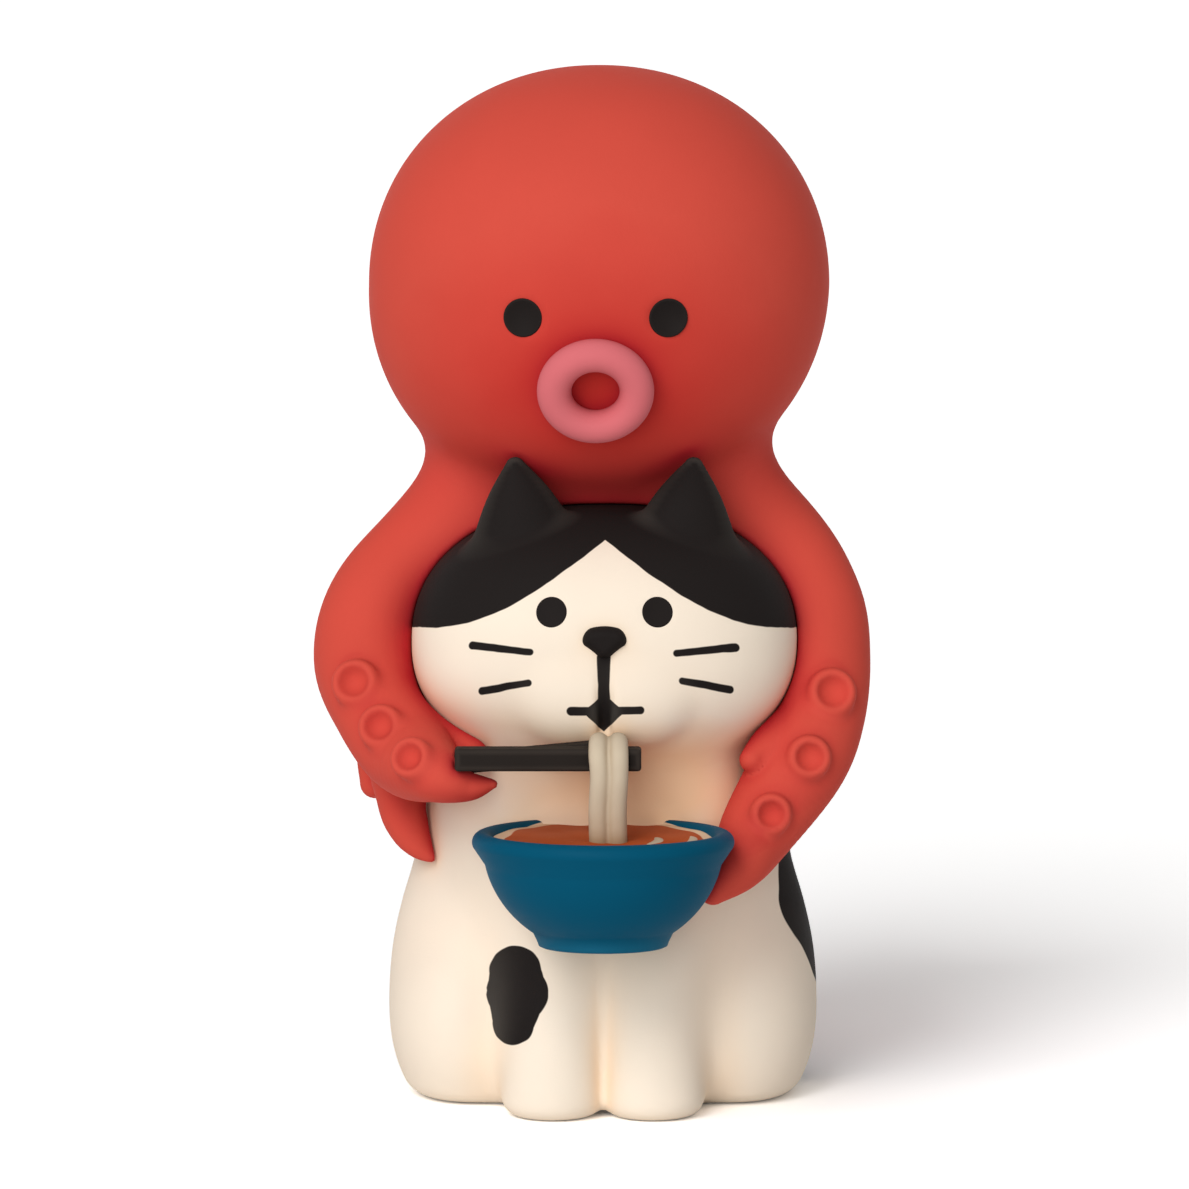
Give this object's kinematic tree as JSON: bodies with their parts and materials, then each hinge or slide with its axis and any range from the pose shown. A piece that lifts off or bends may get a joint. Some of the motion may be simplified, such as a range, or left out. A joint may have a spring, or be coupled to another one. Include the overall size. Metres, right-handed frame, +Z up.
{
  "type": "cat and octopus figurine",
  "caption": "Seated cat ornament with an octopus on its head, whose arms hug the cat, hold a bowl and chopsticks, and lift noodles to the cat's mouth.",
  "frame": {"origin": "on the flat underside of the cat, between its flanks and under its neck", "axes": "+Z up, -Y the way the figure faces, +X to the right of a viewer who faces it"},
  "size_m": [0.0431, 0.048, 0.0797],
  "materials": {
    "cream_paint": "cream matte paint on cast resin",
    "black_paint": "black matte paint on cast resin",
    "red_paint": "red matte paint on cast resin",
    "pink_paint": "pink matte paint on cast resin",
    "blue_paint": "blue matte paint on cast resin",
    "broth_paint": "orange-brown matte paint on cast resin",
    "noodle_paint": "ivory matte paint with a tan wash",
    "stick_paint": "black satin paint on cast resin",
    "birch": "plain dowel"
  },
  "bodies": {
    "root": {"cat_body": "cream_paint", "cat_head": "cream_paint", "cat_nose": "black_paint", "cat_eye_left": "black_paint", "cat_eye_right": "black_paint", "cat_tail": "black_paint", "octopus_mantle": "red_paint", "octopus_mouth": "pink_paint", "octopus_eye_left": "black_paint", "octopus_eye_right": "black_paint", "chopstick_arm": "red_paint", "bowl_arm": "red_paint", "neck_arm_left": "red_paint", "neck_arm_right": "red_paint", "side_arm_left": "red_paint", "side_arm_right": "red_paint", "rear_arm_left": "red_paint", "rear_arm_right": "red_paint", "bowl": "blue_paint", "broth": "broth_paint", "noodle_nest": "noodle_paint", "noodle_lift": "noodle_paint", "chopstick_front": "stick_paint", "chopstick_rear": "stick_paint", "neck_dowel": "birch", "mantle_dowel": "birch"}
  },
  "joints": []
}
